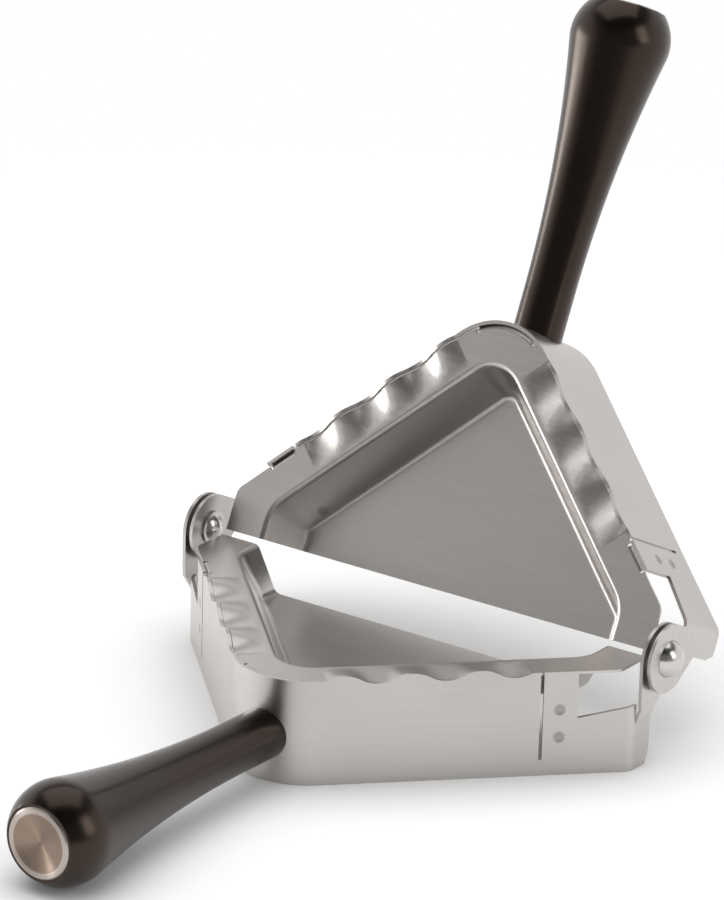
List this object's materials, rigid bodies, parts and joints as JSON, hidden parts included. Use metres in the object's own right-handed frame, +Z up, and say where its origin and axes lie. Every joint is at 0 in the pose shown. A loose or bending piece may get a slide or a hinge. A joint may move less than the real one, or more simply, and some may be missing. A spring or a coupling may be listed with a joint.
{
  "type": "ravioli mold",
  "caption": "Folding stainless ravioli mold: triangular pressed pans with fluted rims in cutter skirts, riveted at the fold and opened by long black grips.",
  "frame": {"origin": "on the table, under the middle of the mold's bounding box as it stands half open", "axes": "+Z up from the table; +X along the hinge axis; +Y from the lower half's grip towards the raised half"},
  "size_m": [0.1632, 0.27, 0.1806],
  "materials": {
    "pressed_sheet": "satin stainless, brushed along the sheet",
    "fastener_steel": "polished stainless",
    "grip_plastic": "satin black",
    "insert_brass": "turned",
    "cap_steel": "satin stainless with a polished rim"
  },
  "bodies": {
    "lower_half": {"lower_pan": "pressed_sheet", "lower_skirt": "pressed_sheet", "lower_screw_saddle": "fastener_steel", "lower_lock_washer": "fastener_steel", "lower_handle_screw": "fastener_steel", "lower_handle_insert": "insert_brass", "lower_handle_grip": "grip_plastic", "lower_end_cap": "cap_steel", "hinge_rivet_left": "fastener_steel", "hinge_rivet_right": "fastener_steel", "hinge_washer_left": "fastener_steel", "hinge_washer_right": "fastener_steel", "rivet_burr_left": "fastener_steel", "rivet_burr_right": "fastener_steel"},
    "upper_half": {"upper_pan": "pressed_sheet", "upper_skirt": "pressed_sheet", "upper_screw_saddle": "fastener_steel", "upper_lock_washer": "fastener_steel", "upper_handle_screw": "fastener_steel", "upper_handle_insert": "insert_brass", "upper_handle_grip": "grip_plastic", "upper_end_cap": "cap_steel"}
  },
  "joints": [
    {"name": "fold_hinge", "type": "hinge", "parent": "lower_half", "child": "upper_half", "pos_m": [0, 0.03602, 0.03], "axis": [1, 0, 0], "range_deg": [-63.8, 116.2]}
  ]
}
